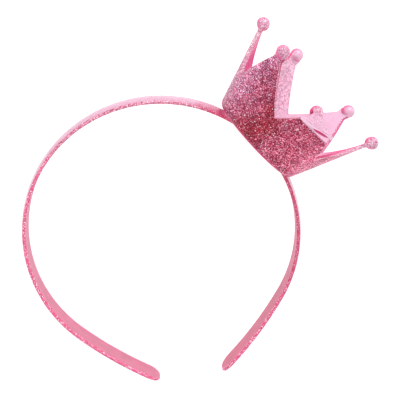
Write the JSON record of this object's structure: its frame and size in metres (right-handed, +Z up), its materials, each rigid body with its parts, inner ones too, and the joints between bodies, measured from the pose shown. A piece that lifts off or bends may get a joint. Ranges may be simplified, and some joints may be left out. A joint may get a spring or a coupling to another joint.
{
  "type": "mini crown headband",
  "caption": "Rigid open headband with a small flared crown on it: a round rim with pointed, ball-tipped spikes, its top folded inwards at the front, worn over the head.",
  "frame": {"origin": "centre of the box's base, on the surface that the headband lies on", "axes": "+Z up from that surface, +Y from the band's open ends to its top, +X to the side that the crown sits on"},
  "size_m": [0.1672, 0.16, 0.0666],
  "materials": {
    "band_plastic": "pink moulded plastic, glittered gloss outside, dull inside, brighter pink edges",
    "crown_plastic": "translucent raspberry pink plastic filled with silver and pink glitter, smooth inside"
  },
  "bodies": {
    "root": {"headband": "band_plastic", "crown": "crown_plastic"}
  },
  "joints": []
}
